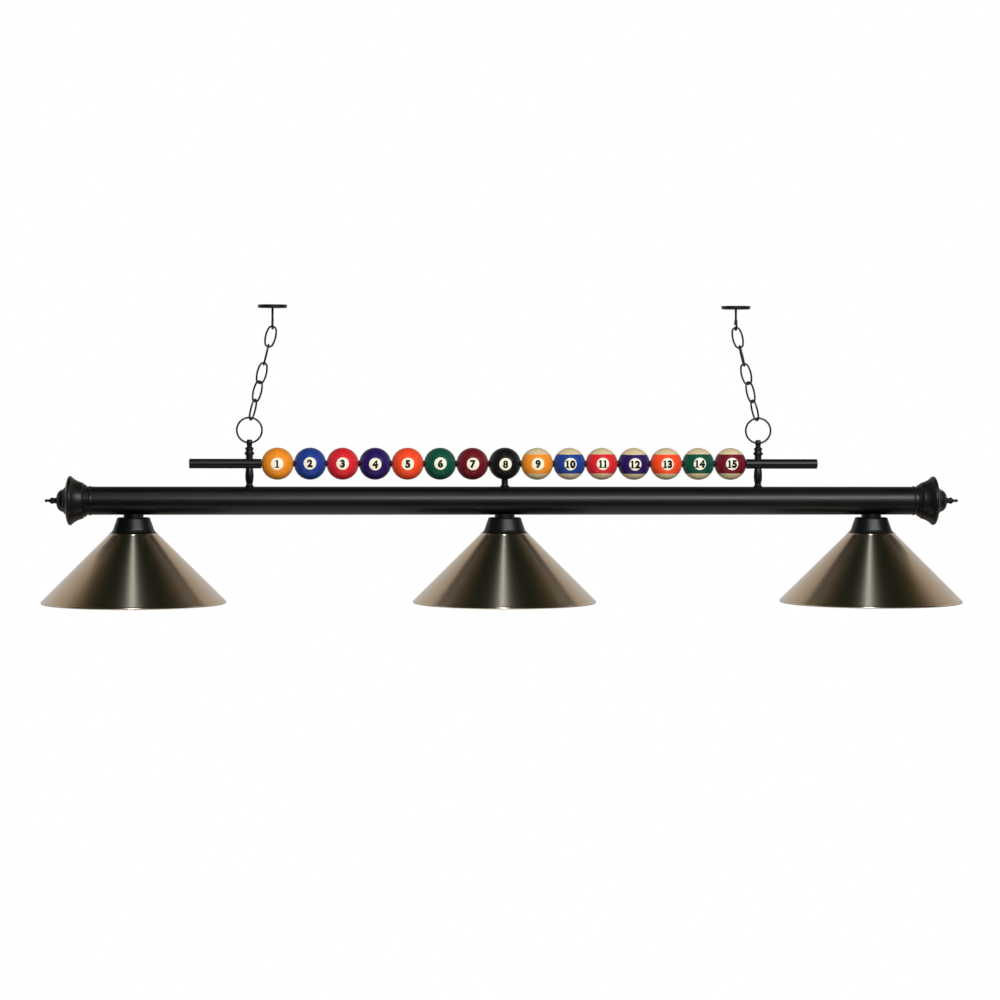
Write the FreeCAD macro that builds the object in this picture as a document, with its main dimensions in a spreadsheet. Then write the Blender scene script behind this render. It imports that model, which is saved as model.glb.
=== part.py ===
# Pool table lamp: a black tube with three cone shades, hung on two chains, with a row of
# fifteen pool balls on a rod above it.
# The origin is on the ceiling, midway between the two hooks. X runs along the lamp, the front
# faces -Y, and +Z is up, so the whole lamp hangs below zero.
import FreeCAD, Part
import math
import os
import re

import Sketcher

doc = FreeCAD.newDocument("PoolTableLamp")
sheet = doc.addObject("Spreadsheet::Sheet", "Sizes")
derived = doc.addObject("App::VarSet", "Derived")

# ---------------------------------------------------------------- driving dimensions
# Millimetres and degrees. One row for each size that can be set by itself.
DRIVING = {
    # ceiling hooks
    "plate_radius": 26, "plate_thickness": 6, "plate_edge": 3,
    "plate_screw_spacing": 34, "plate_screw_radius": 2.25,
    "hook_depth": 42.5, "hook_radius": 9, "hook_wire": 2, "hook_mouth": 62,
    # chains and rings
    "chain_wire": 1.7, "link_length": 40.4, "link_width": 21, "link_bend": 7,
    "chain_lean": 13.6, "contact_gap": 0.3, "ring_radius": 22.3, "ring_wire": 1.7,
    "ring_split": 1, "ring_contact": 7.5,
    # main tube and its end caps
    "tube_length": 1464, "tube_radius": 25.1, "tube_wall": 1.2, "stop_thickness": 6,
    "end_stud_radius": 2.5, "stud_spare": 4,
    # end caps: radii, then how far each step is from the tube's end
    "cap_wall": 2.2, "cap_lap": 0.3, "cap_groove": 3, "cap_shoulder": 32.8, "cap_lip": 43.8,
    "dome_foot": 23.5, "dome_radius": 20, "finial_foot": 6.5, "finial_bead": 6,
    "finial_neck": 2.2, "finial_tip": 3, "bead_start": 1, "bead_width": 4, "bead_round": 2.6,
    "cap_neck": 9, "cap_step": 12.6, "cap_shoulder_place": 19, "cap_round": 3.3,
    "cap_crest": 38.5, "cap_turn": 43.6, "cap_length": 48, "dome_length": 14.5,
    "finial_length": 21.1,
    # posts and ball rod
    "post_offset": 21.33, "post_height": 32.1, "post_foot": 5, "post_waist": 5.6,
    "post_belly": 7.7, "saddle_depth": 2, "middle_post_radius": 5.9, "stud_radius": 3,
    "nut_flats": 10, "nut_height": 5,
    "eye_height": 28.8, "eye_knob": 5.7, "eye_hole": 2.5, "eye_neck": 6.25, "eye_bead": 8.4,
    "sleeve_radius": 8.65, "sleeve_tail": 106.5, "rod_radius": 5,
    # balls
    "ball_radius": 28.575, "ball_gap": 0.6, "spacer_radius": 6.25, "spacer_thickness": 0.9,
    # shades, caps and lampholders
    "shade_inset": 73, "shade_rim": 162.4, "shade_bead": 2.2, "shade_slope": 44.8,
    "shade_wall": 0.8, "collar_radius": 44.2, "collar_height": 3, "collar_round": 1.2,
    "cup_neck": 17.75, "cup_neck_height": 4.6, "cup_shoulder": 30, "cup_waist": 35.2,
    "cup_flare": 9, "cup_height": 27.8, "cup_lip": 41.6, "cup_wall": 1.6, "cup_round": 4,
    "nipple_radius": 4.85, "nipple_bore": 3.5, "nipple_nut_flats": 14,
    "holder_radius": 23, "holder_height": 18, "thread_radius": 19.8, "thread_height": 28,
    "lock_ring_radius": 25, "lock_ring_height": 6,
    # bulbs
    "base_radius": 13.1, "base_height": 26, "contact_radius": 4.5, "bulb_radius": 30, "bulb_height": 84,
    "bulb_neck": 13.4, "glass_wall": 1,
    # wiring
    "cable_radius": 3, "branch_radius": 2, "inlet_place": 380, "inlet_hole": 5,
    "grommet_radius": 7, "grommet_bore": 3, "grommet_lip": 1.6,
    # clearances
    "running_clearance": 0.07, "fixed_clearance": 0.05, "free_gap": 0.4,
}
for row, (alias, value) in enumerate(DRIVING.items(), start=1):
    sheet.set(f"A{row}", alias)
    sheet.set(f"B{row}", str(value))
    sheet.setAlias(f"B{row}", alias)
doc.recompute()

BALLS = 15
FIXED_BALL = 8
LINKS = 5
# turn of each link about the chain, from the ring up to the hook, seen on the left chain
LINK_TWISTS = [65, -35, 25, 90, 0]
# degrees round a ring from its top to its split, away from the lamp's middle
SPLIT_PLACE = 24
SIDES = {"left": -1, "right": 1}
SHADE_SIDES = {"left": -1, "middle": 0, "right": 1}

AXIS_X = FreeCAD.Rotation(FreeCAD.Vector(0, 1, 0), 90)
AXIS_Y = FreeCAD.Rotation(FreeCAD.Vector(1, 0, 0), -90)
HALF_TURN = FreeCAD.Rotation(FreeCAD.Vector(0, 0, 1), 180)

home = {alias: "Sizes" for alias in DRIVING}
nodes = {}


# ---------------------------------------------------------------- writing expressions
def bound(text):
    """Add the owner's name to each size in an expression."""
    return re.sub(r"[a-z]\w+", lambda word: ".".join(filter(None, (home.get(word[0]), word[0]))),
                  str(text))


def derive(name, text):
    """Keep a size that follows from others as a property of the Derived object."""
    derived.addProperty("App::PropertyFloat", name)
    derived.setExpression(name, bound(text))
    home[name] = "Derived"
    doc.recompute()


def number(text):
    """Work out an expression's present value."""
    return float(sheet.evalExpression(bound(text)))


def place(thing, x=0, y=0, z=0, rotation=None):
    """Bind the position of an object to expressions."""
    if rotation is not None:
        thing.Placement = FreeCAD.Placement(FreeCAD.Vector(), rotation)
    for letter, text in zip("xyz", (x, y, z)):
        thing.setExpression(f"Placement.Base.{letter}", bound(text))
    return thing


def node(name, thing):
    """Name an object as a sub-part of the lamp."""
    thing.Label = name
    nodes[name] = thing
    return thing


# ---------------------------------------------------------------- shapes
def arc_between(start, end, radius):
    """Arc from start to end; a positive radius turns to the left on the way."""
    chord = end - start
    middle = (start + end) * 0.5
    left = FreeCAD.Vector(-chord.y, chord.x, 0).normalize()
    rise = math.sqrt(max(radius * radius - chord.Length ** 2 / 4, 0))
    centre = middle + left * rise * (1 if radius > 0 else -1)
    circle = Part.Circle(centre, FreeCAD.Vector(0, 0, 1), abs(radius))
    angles = [math.atan2(*(point - centre)[1::-1]) for point in (start, end)]
    if radius < 0:
        angles.reverse()
    return Part.ArcOfCircle(circle, *angles)


def outline(body, corners):
    """Closed sketch on the body's XZ plane. A corner is (across, up) or (across, up, radius of
    the arc that arrives there); each one is bound to its expressions."""
    sketch = body.newObject("Sketcher::SketchObject", "Outline")
    plane = next(item for item in body.Origin.OriginFeatures if item.Role == "XZ_Plane")
    sketch.AttachmentSupport = [(plane, "")]
    sketch.MapMode = "FlatFace"
    points = [FreeCAD.Vector(number(corner[0]), number(corner[1]), 0) for corner in corners]
    ends = []
    for index, corner in enumerate(corners):
        start, end = points[index - 1], points[index]
        if len(corner) == 2:
            sketch.addGeometry(Part.LineSegment(start, end))
            ends.append((1, 2))
        else:
            radius = number(corner[2])
            sketch.addGeometry(arc_between(start, end, radius))
            ends.append((1, 2) if radius > 0 else (2, 1))
    for index, corner in enumerate(corners):
        after = (index + 1) % len(corners)
        tip = (index, ends[index][1])
        sketch.addConstraint(Sketcher.Constraint("Coincident", *tip, after, ends[after][0]))
        for kind, value, axis in (("DistanceX", points[index].x, -2),
                                  ("DistanceY", points[index].y, -1)):
            text = corner[0] if kind == "DistanceX" else corner[1]
            if str(text) == "0":
                sketch.addConstraint(Sketcher.Constraint("PointOnObject", *tip, axis))
            else:
                entry = sketch.addConstraint(Sketcher.Constraint(kind, -1, 1, *tip, value))
                sketch.setExpression(f"Constraints[{entry}]", bound(text))
        if len(corner) == 3:
            size = Sketcher.Constraint("Radius", index, abs(number(corner[2])))
            entry = sketch.addConstraint(size)
            sketch.setExpression(f"Constraints[{entry}]", bound(f"abs({corner[2]})"))
    return sketch


def turned(name, corners, about="V_Axis"):
    """Body turned from an outline, about its upright or its lengthwise axis."""
    body = doc.addObject("PartDesign::Body", name)
    sketch = outline(body, corners)
    revolution = body.newObject("PartDesign::Revolution", "Turning")
    revolution.Profile = sketch
    revolution.ReferenceAxis = (sketch, [about])
    revolution.Angle = 360
    sketch.Visibility = False
    return body


def hexagon(name, flats, height):
    """Hexagonal prism, standing on its own origin."""
    prism = doc.addObject("Part::Prism", name)
    prism.Polygon = 6
    prism.setExpression("Circumradius", bound(f"({flats}) / 2 / cos(30)"))
    prism.setExpression("Height", bound(height))
    return prism


def cylinder(name, radius, height):
    """Cylinder, standing on its own origin."""
    pin = doc.addObject("Part::Cylinder", name)
    pin.setExpression("Radius", bound(radius))
    pin.setExpression("Height", bound(height))
    return pin


def bent_round(name, radius, wire, angle=360):
    """Round wire bent in a circle, in its own XY plane."""
    bend = doc.addObject("Part::Torus", name)
    bend.setExpression("Radius1", bound(radius))
    bend.setExpression("Radius2", bound(wire))
    bend.setExpression("Angle3", bound(angle))
    return bend


def fused(name, things):
    """One solid from several."""
    union = doc.addObject("Part::MultiFuse", name)
    union.Shapes = things
    union.Refine = True
    return union


def cut(name, base, tools):
    """One object with others taken away."""
    result = doc.addObject("Part::Cut", name)
    result.Base = base
    result.Tool = tools[0] if len(tools) == 1 else fused(f"{name}_tools", tools)
    return result


def group(name, things):
    """Several separate solids kept as one sub-part."""
    compound = doc.addObject("Part::Compound", name)
    compound.Links = things
    return node(name, compound)


# ---------------------------------------------------------------- where things are
# along the ball rod: the posts stand just beyond the balls
derive("ball_pitch", "2 * ball_radius + ball_gap")
derive("ball_bore", "rod_radius + running_clearance")
derive("bore_edge", "sqrt(ball_radius ^ 2 - ball_bore ^ 2)")
derive("sleeve_start", f"{BALLS // 2} * ball_pitch + bore_edge + contact_gap")
derive("post_place", "sleeve_start + post_offset")
derive("rod_end", "post_place + 3 * rod_radius")
derive("sleeve_end", "post_place + sleeve_tail")
# chain: from wire centre to wire centre of one link, and from link to link
derive("link_reach", "link_length - 2 * chain_wire")
derive("link_half", "link_width / 2 - chain_wire")
derive("link_top", "link_reach / 2 - link_bend")
derive("link_side", "(link_half ^ 2 + link_top ^ 2 - link_bend ^ 2) / 2 / (link_half - link_bend)")
derive("side_sweep", "atan(link_top / (link_side - link_half))")
derive("link_step", "link_reach - 2 * chain_wire - contact_gap")
derive("hook_contact", "hook_wire + chain_wire + contact_gap")
derive("ring_step", "chain_wire + ring_wire + contact_gap")
derive("chain_run", f"{LINKS - 1} * link_step + link_reach - hook_contact - ring_step")
derive("hook_place", "post_place - ring_radius * sin(ring_contact) - chain_run * sin(chain_lean)")
derive("ring_drop", "hook_depth + chain_run * cos(chain_lean) + ring_radius * cos(ring_contact)")
# heights above the tube's axis
derive("rod_height", "tube_radius + post_height + sleeve_radius")
derive("sleeve_top", "rod_height + sleeve_radius")
derive("eye_place", "sleeve_top + eye_height")
derive("tube_drop", "ring_drop + ring_radius - contact_gap + eye_place")
derive("tube_bore", "tube_radius - tube_wall")
derive("tube_end", "tube_length / 2")
derive("shade_spacing", "tube_end - shade_inset")
derive("cap_end", "cap_length + dome_length")
derive("grommet_seat", "sqrt(tube_bore ^ 2 - grommet_radius ^ 2) - free_gap")
derive("nut_corner", "nut_flats / 2 / cos(30)")
derive("nut_seat", "sqrt(tube_bore ^ 2 - nut_corner ^ 2)")
derive("nipple_nut_corner", "nipple_nut_flats / 2 / cos(30)")
derive("nipple_nut_seat", "sqrt(tube_bore ^ 2 - nipple_nut_corner ^ 2)")
# below the tube
derive("cup_top", "tube_radius + cup_neck_height")
derive("cup_bottom", "cup_top + cup_height")
derive("shade_cone", "cup_bottom + collar_height")
derive("shade_foot", "shade_cone + (shade_rim - collar_radius) / tan(shade_slope)")
derive("holder_top", "cup_bottom - holder_height")
derive("holder_foot", "cup_bottom + thread_height")
derive("bulb_seat", "holder_foot - base_height")


# ---------------------------------------------------------------- ceiling hooks
def ceiling_hook(side, sign):
    """A round plate against the ceiling with two screw holes, and the open hook in it."""
    where = f"{sign} * hook_place"
    disc = turned(f"{side}_plate_disc", [
        (0, 0), (0, "-plate_thickness"),
        ("plate_radius - plate_edge", "-plate_thickness"),
        ("plate_radius", "plate_edge - plate_thickness", "plate_edge"),
        ("plate_radius", 0)])
    place(disc, where)
    holes = [cylinder(f"{side}_plate_tapping", "hook_wire + fixed_clearance", "plate_thickness")]
    place(holes[0], where, z="-plate_thickness - plate_thickness / 4")
    for end in (-1, 1):
        hole = cylinder(f"{side}_plate_hole", "plate_screw_radius", "3 * plate_thickness")
        place(hole, where, f"{end} * plate_screw_spacing / 2", "-2 * plate_thickness")
        holes.append(hole)
    node(f"{side}_ceiling_plate", cut(f"{side}_plate_cut", disc, holes))
    loop = bent_round(f"{side}_hook_loop", "hook_radius", "hook_wire", "360 - hook_mouth")
    upright = FreeCAD.Rotation(FreeCAD.Vector(0, 1, 0), FreeCAD.Vector(0, 0, 1),
                               FreeCAD.Vector(1, 0, 0), "XYZ")
    place(loop, where, 0, "hook_radius - hook_depth", upright)
    tip = doc.addObject("Part::Sphere", f"{side}_hook_tip")
    tip.setExpression("Radius", bound("hook_wire"))
    place(tip, where, "hook_radius * cos(hook_mouth)",
          "hook_radius - hook_depth - hook_radius * sin(hook_mouth)")
    stem = cylinder(f"{side}_hook_stem", "hook_wire",
                    "hook_depth - 2 * hook_radius - plate_thickness / 4")
    place(stem, where, 0, "2 * hook_radius - hook_depth")
    node(f"{side}_ceiling_hook", fused(f"{side}_hook_metal", [loop, tip, stem]))


# ---------------------------------------------------------------- chains and rings
def chain_link(name, sign, number_up, twist):
    """One oval link: two tight ends and two long side bends, leaning with its chain."""
    derive(f"{name}_along", f"hook_contact - {LINKS - number_up} * link_step - link_reach / 2")
    sweep = number("side_sweep")
    bends = [("link_bend", "180 - 2 * side_sweep", 0, "link_top", sweep),
             ("link_bend", "180 - 2 * side_sweep", 0, "-link_top", 180 + sweep),
             ("link_side", "2 * side_sweep", "link_half - link_side", 0, -sweep),
             ("link_side", "2 * side_sweep", "link_side - link_half", 0, 180 - sweep)]
    parts = []
    for radius, angle, across, up, start in bends:
        bend = bent_round(f"{name}_bend", radius, "chain_wire", angle)
        upright = FreeCAD.Rotation(FreeCAD.Vector(1, 0, 0), 90)
        begun = FreeCAD.Rotation(FreeCAD.Vector(0, 0, 1), start)
        parts.append(place(bend, across, 0, up, upright.multiply(begun)))
    link = fused(name, parts)
    along = f"{name}_along"
    lean = f"create(<<rotation>>; create(<<vector>>; 0; 1; 0); {-sign} * chain_lean)"
    turn = f"create(<<rotation>>; create(<<vector>>; 0; 0; 1); {-sign * twist})"
    base = (f"create(<<vector>>; {sign} * (hook_place - {along} * sin(chain_lean)); 0; "
            f"{along} * cos(chain_lean) - hook_depth)")
    link.setExpression("Placement", bound(f"create(<<placement>>; {base}; {lean} * {turn})"))
    return link


def hanging_chain(side, sign):
    """Five links and the split ring that the lamp hangs from."""
    links = [chain_link(f"{side}_link_{up}", sign, up, twist)
             for up, twist in enumerate(LINK_TWISTS, start=1)]
    node(f"{side}_top_link", links.pop())
    group(f"{side}_chain_links", links)
    ring = bent_round(f"{side}_ring_wire", "ring_radius", "ring_wire", "360 - ring_split")
    start = 90 - sign * SPLIT_PLACE
    upright = FreeCAD.Rotation(FreeCAD.Vector(1, 0, 0), 90)
    swing = FreeCAD.Rotation(FreeCAD.Vector(0, 1, 0), -start)
    place(ring, f"{sign} * post_place", 0, "-ring_drop", swing.multiply(upright))
    node(f"{side}_ring", ring)


# ---------------------------------------------------------------- main tube and end caps
def main_tube():
    """Thin steel tube with holes for the posts, the lampholders and the lead's inlet."""
    tube = turned("tube_wall_turned", [
        ("-tube_end", "tube_bore"), ("tube_end", "tube_bore"),
        ("tube_end", "tube_radius"), ("-tube_end", "tube_radius")], "H_Axis")
    place(tube, z="-tube_drop")
    drills = []
    for step in (-1, 0, 1):
        hole = cylinder("stud_drill", "stud_radius + fixed_clearance", "2 * tube_radius")
        drills.append(place(hole, f"{step} * post_place", 0, "-tube_drop"))
        hole = cylinder("nipple_drill", "nipple_radius + fixed_clearance", "2 * tube_radius")
        drills.append(place(hole, f"{step} * shade_spacing", 0, "-tube_drop - 2 * tube_radius"))
    hole = cylinder("inlet_drill", "inlet_hole", "2 * tube_radius")
    drills.append(place(hole, "-inlet_place", 0, "-tube_drop", AXIS_Y))
    node("main_tube", cut("tube_drilled", tube, drills))


def end_cap(side, sign):
    """Spun cup, dome and the threaded stop inside the tube that they are screwed to."""
    facing = FreeCAD.Rotation() if sign > 0 else HALF_TURN
    stud_hole = "end_stud_radius + fixed_clearance"
    cup = turned(f"{side}_end_cup", [
        ("cap_wall", "tube_bore"), (0, "tube_bore"), (0, "tube_radius"),
        ("bead_start", "tube_radius + cap_lap"),
        ("bead_start + bead_width", "tube_radius + cap_lap", "-bead_round"),
        ("cap_neck", "tube_radius + cap_lap"), ("cap_neck + 0.6", "tube_radius + 1.8"),
        ("cap_step - 0.6", "tube_radius + cap_groove + 0.6", "-cap_groove"),
        ("cap_step", "tube_radius + cap_groove"), ("cap_shoulder_place", "cap_shoulder", -11),
        ("cap_crest - cap_round", "cap_lip - 0.6 * cap_round", 40),
        ("cap_crest + cap_round", "cap_lip - 0.6 * cap_round", "-1.133 * cap_round"),
        ("cap_turn", "cap_lip - 5.6", -12), ("cap_length - 2.4", "dome_foot + 7"),
        ("cap_length", "dome_foot", 12), ("cap_length", stud_hole),
        ("cap_length - cap_wall", stud_hole),
        ("cap_length - cap_wall - 3.5", "dome_foot + 6"),
        ("cap_crest + 1 - cap_wall", "cap_lip - 5"),
        ("cap_shoulder_place + 1", "cap_shoulder - cap_wall"),
        ("cap_step - 0.6", "tube_bore")], "H_Axis")
    node(f"{side}_end_cup", place(cup, f"{sign} * tube_end", 0, "-tube_drop", facing))
    dome = turned(f"{side}_end_dome", [
        ("cap_length", stud_hole), ("cap_length", "dome_foot"),
        ("cap_length + 1.4", "dome_foot - 0.8", -1.2), ("cap_length + 4", "dome_radius", 6),
        ("cap_end", "finial_foot", -13.5), ("cap_end", stud_hole)], "H_Axis")
    node(f"{side}_end_dome", place(dome, f"{sign} * tube_end", 0, "-tube_drop", facing))


def cap_hardware():
    """Stops inside the tube, the studs through them and the finials that hold the caps."""
    stops, studs, finials = [], [], []
    stud_hole = "end_stud_radius + fixed_clearance"
    thread_end = "cap_end + finial_length / 2 + 1"
    for side, sign in SIDES.items():
        facing = FreeCAD.Rotation() if sign > 0 else HALF_TURN
        stop = turned(f"{side}_stop", [
            ("-stop_thickness - cap_wall", stud_hole), ("-cap_wall", stud_hole),
            ("-cap_wall", "tube_bore - fixed_clearance"),
            ("-stop_thickness - cap_wall", "tube_bore - fixed_clearance")], "H_Axis")
        stud = cylinder(f"{side}_end_stud", "end_stud_radius",
                        f"stop_thickness + cap_wall + {thread_end} - 2 * free_gap + stud_spare")
        finial = turned(f"{side}_finial", [
            ("cap_end", stud_hole), ("cap_end", "finial_foot"),
            ("cap_end + 3.9", "finial_foot - 1.6", 5), ("cap_end + 5.7", "finial_bead - 1.2"),
            ("cap_end + 10.3", "finial_bead - 1.2", -2.9), ("cap_end + 14.5", "finial_neck", 12),
            ("cap_end + 16.1", "finial_neck"),
            ("cap_end + finial_length", 0, "-finial_tip"), (thread_end, 0),
            (thread_end, stud_hole)], "H_Axis")
        stops.append(place(stop, f"{sign} * tube_end", 0, "-tube_drop", facing))
        axis = AXIS_X if sign > 0 else HALF_TURN.multiply(AXIS_X)
        start = "tube_end - stop_thickness - cap_wall - stud_spare"
        studs.append(place(stud, f"{sign} * ({start})", 0, "-tube_drop", axis))
        finials.append(place(finial, f"{sign} * tube_end", 0, "-tube_drop", facing))
    group("end_stops", stops)
    group("end_studs", studs)
    group("end_finials", finials)


# ---------------------------------------------------------------- posts, rod and balls
def saddle(name, radius, height, x):
    """Lengthwise bar that cuts a saddle where a post sits on a round piece."""
    bar = cylinder(name, radius, "8 * post_belly")
    return place(bar, f"{x} - 4 * post_belly", 0, f"{height} - tube_drop", AXIS_X)


def side_post(side, sign):
    """Turned post between tube and rod, and the eyelet above the rod."""
    where = f"{sign} * post_place"
    bore = "stud_radius + fixed_clearance"
    post = turned(f"{side}_post_turned", [
        (bore, "tube_radius - saddle_depth"), ("post_belly", "tube_radius - saddle_depth"),
        ("post_belly", "tube_radius + 1"), ("post_waist", "tube_radius + post_foot", -5),
        ("sleeve_radius * 0.71", "rod_height - sleeve_radius", 56),
        ("sleeve_radius * 0.71", "rod_height - sleeve_radius + 3"),
        (bore, "rod_height - sleeve_radius + 3")])
    place(post, where, 0, "-tube_drop")
    seats = [saddle(f"{side}_tube_saddle", "tube_radius", "0", where),
             saddle(f"{side}_rod_saddle", "sleeve_radius", "rod_height", where)]
    node(f"{side}_post", cut(f"{side}_post_seated", post, seats))
    eyelet = turned(f"{side}_eyelet_turned", [
        (bore, "sleeve_top - 3"), ("eye_neck", "sleeve_top - 3"),
        ("eye_neck", "sleeve_top + 6.5"), ("eye_bead - 1.4", "sleeve_top + 7"),
        ("eye_bead - 1.4", "sleeve_top + 12", 2.6), ("eye_bead - 2", "sleeve_top + 16", -8),
        ("eye_bead - 2", "sleeve_top + 20", 2.2), ("eye_knob - 1.3", "sleeve_top + 22.5", -4),
        ("eye_knob - 1", "eye_place - 4.6"), ("eye_knob - 1.2", "eye_place + 4.4", 11),
        ("eye_knob - 2.4", "eye_place + 5.4", 1.4), (0, "eye_place + 5.4"),
        (0, "eye_place - 9"), (bore, "eye_place - 9")])
    place(eyelet, where, 0, "-tube_drop")
    hole = cylinder(f"{side}_eye_drill", "eye_hole", "4 * eye_knob")
    place(hole, f"{where} - 2 * eye_knob", 0, "eye_place - tube_drop", AXIS_X)
    seat = saddle(f"{side}_eye_saddle", "sleeve_radius", "rod_height", where)
    node(f"{side}_eyelet", cut(f"{side}_eyelet_drilled", eyelet, [hole, seat]))


def middle_post():
    """Short post from the tube up into the underside of the fixed ball."""
    post = turned("middle_post_turned", [
        ("stud_radius + fixed_clearance", "tube_radius - saddle_depth"),
        ("middle_post_radius + 2.4", "tube_radius - saddle_depth"),
        ("middle_post_radius + 2.4", "tube_radius + 1"),
        ("middle_post_radius", "tube_radius + post_foot - 0.5", -4.5),
        ("middle_post_radius", "rod_height - ball_radius + 2.5"),
        ("stud_radius + fixed_clearance", "rod_height - ball_radius + 2.5")])
    place(post, z="-tube_drop")
    seat = saddle("middle_saddle", "tube_radius", "0", "0")
    node("middle_post", cut("middle_post_seated", post, [seat]))


def post_hardware():
    """Threaded studs through posts and rod, and their nuts inside the tube."""
    studs, nuts = [], []
    for step in (-1, 0, 1):
        top = "rod_height + rod_radius" if step == 0 else "eye_place - 9.5"
        low = "nut_seat - nut_height - 2"
        stud = cylinder("post_stud", "stud_radius", f"{top} - ({low})")
        studs.append(place(stud, f"{step} * post_place", 0, f"{low} - tube_drop"))
        blank = hexagon("post_nut_blank", "nut_flats", "nut_height")
        bore = cylinder("post_nut_thread", "stud_radius + fixed_clearance", "nut_height")
        for piece in (blank, bore):
            place(piece, f"{step} * post_place", 0, "nut_seat - nut_height - tube_drop")
        nuts.append(cut("post_nut", blank, [bore]))
    group("post_studs", studs)
    group("post_nuts", nuts)


def cross_drills(name):
    """Upright holes through the rod and its sleeves, for the studs."""
    drills = []
    for step in (-1, 0, 1):
        drill = cylinder(f"{name}_cross_drill", "stud_radius + fixed_clearance",
                         "4 * sleeve_radius")
        place(drill, f"{step} * post_place", 0, "rod_height - 2 * sleeve_radius - tube_drop")
        drills.append(drill)
    return drills


def ball_rod():
    """Steel rod through the balls and the two thicker sleeves over its ends."""
    bar = cylinder("rod_bar", "rod_radius", "2 * rod_end")
    place(bar, "-rod_end", 0, "rod_height - tube_drop", AXIS_X)
    node("ball_rod", cut("rod_drilled", bar, cross_drills("rod")))
    for side, sign in SIDES.items():
        facing = FreeCAD.Rotation() if sign > 0 else HALF_TURN
        bore = "rod_radius + fixed_clearance"
        sleeve = turned(f"{side}_sleeve_turned", [
            ("sleeve_start", bore), ("rod_end + 1", bore), ("rod_end + 1", 0),
            ("sleeve_end", 0), ("sleeve_end", "sleeve_radius - 1"),
            ("sleeve_end - 1", "sleeve_radius"), ("sleeve_start", "sleeve_radius")], "H_Axis")
        place(sleeve, 0, 0, "rod_height - tube_drop", facing)
        drill = cross_drills(side)[1 + sign]
        node(f"{side}_rod_sleeve", cut(f"{side}_sleeve_drilled", sleeve, [drill]))


def balls():
    """Fifteen drilled balls and the thin washers that keep them apart on the rod."""
    for count in range(1, BALLS + 1):
        where = f"{count - FIXED_BALL} * ball_pitch"
        sphere = doc.addObject("Part::Sphere", f"ball_{count}_sphere")
        sphere.setExpression("Radius", bound("ball_radius"))
        place(sphere, where, 0, "rod_height - tube_drop")
        clearance = "fixed_clearance" if count == FIXED_BALL else "running_clearance"
        bore = cylinder(f"ball_{count}_bore", f"rod_radius + {clearance}", "3 * ball_radius")
        place(bore, f"{where} - 1.5 * ball_radius", 0, "rod_height - tube_drop", AXIS_X)
        tools = [bore]
        if count == FIXED_BALL:
            thread = cylinder("fixed_ball_thread", "stud_radius + fixed_clearance",
                              "ball_radius + rod_radius + free_gap")
            seat = cylinder("fixed_ball_seat", "middle_post_radius + fixed_clearance", 5)
            tools += [place(thread, z="rod_height - ball_radius - tube_drop"),
                      place(seat, z="rod_height - ball_radius - 2.4 - tube_drop")]
        node(f"ball_{count}", cut(f"ball_{count}_bored", sphere, tools))
    washers = []
    for count in range(1, BALLS):
        where = f"({count - FIXED_BALL + 0.5}) * ball_pitch - spacer_thickness / 2"
        disc = cylinder("spacer_disc", "spacer_radius", "spacer_thickness")
        bore = cylinder("spacer_bore", "rod_radius + fixed_clearance", "spacer_thickness")
        for piece in (disc, bore):
            place(piece, where, 0, "rod_height - tube_drop", AXIS_X)
        washers.append(cut("spacer", disc, [bore]))
    group("ball_spacers", washers)


# ---------------------------------------------------------------- lampholders and shades
def shade_unit(side, sign):
    """Black cup under the tube and the cone shade that hangs in it."""
    where = f"{sign} * shade_spacing"
    bore = "nipple_radius + fixed_clearance"
    cup = turned(f"{side}_cup_turned", [
        (bore, "saddle_depth - tube_radius"), ("cup_neck", "saddle_depth - tube_radius"),
        ("cup_neck", "-cup_top"), ("cup_shoulder - cup_round", "-cup_top"),
        ("cup_shoulder", "-cup_top - cup_round", "-cup_round"),
        ("cup_waist", "cup_flare - cup_bottom"), ("cup_lip", "-cup_bottom", 14),
        ("cup_lip - cup_wall", "-cup_bottom"),
        ("cup_waist - cup_wall", "cup_flare + 0.5 - cup_bottom"),
        ("cup_shoulder - cup_wall", "-cup_top - cup_round - 0.5"),
        ("cup_shoulder - cup_round", "-cup_top - cup_wall"), (bore, "-cup_top - cup_wall")])
    place(cup, where, 0, "-tube_drop")
    seat = cylinder(f"{side}_cup_saddle", "tube_radius", "4 * cup_neck")
    place(seat, f"{where} - 2 * cup_neck", 0, "-tube_drop", AXIS_X)
    node(f"{side}_shade_cup", cut(f"{side}_cup_seated", cup, [seat]))
    hole = "thread_radius + fixed_clearance"
    skin = "shade_wall / cos(shade_slope)"
    wall_out = "collar_radius - 1"
    sheet_metal = turned(f"{side}_shade_sheet", [
        (hole, "-cup_bottom"), (f"{wall_out} - collar_round", "-cup_bottom"),
        (wall_out, "-cup_bottom - collar_round", "-collar_round"), (wall_out, "1 - shade_cone"),
        ("collar_radius", "-shade_cone"), ("shade_rim", "-shade_foot"),
        (f"shade_rim - {skin}", "-shade_foot"), (f"collar_radius - {skin}", "-shade_cone"),
        (f"{wall_out} - shade_wall", "1 - shade_cone"),
        (f"{wall_out} - shade_wall", "-cup_bottom - shade_wall - 0.4"),
        (f"{wall_out} - shade_wall - 0.4", "-cup_bottom - shade_wall"),
        (hole, "-cup_bottom - shade_wall")])
    place(sheet_metal, where, 0, "-tube_drop")
    rim = bent_round(f"{side}_shade_roll", "shade_rim - 0.4", "shade_bead")
    place(rim, where, 0, "-shade_foot - shade_bead / 2 - tube_drop")
    node(f"{side}_shade", fused(f"{side}_shade_whole", [sheet_metal, rim]))


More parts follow.
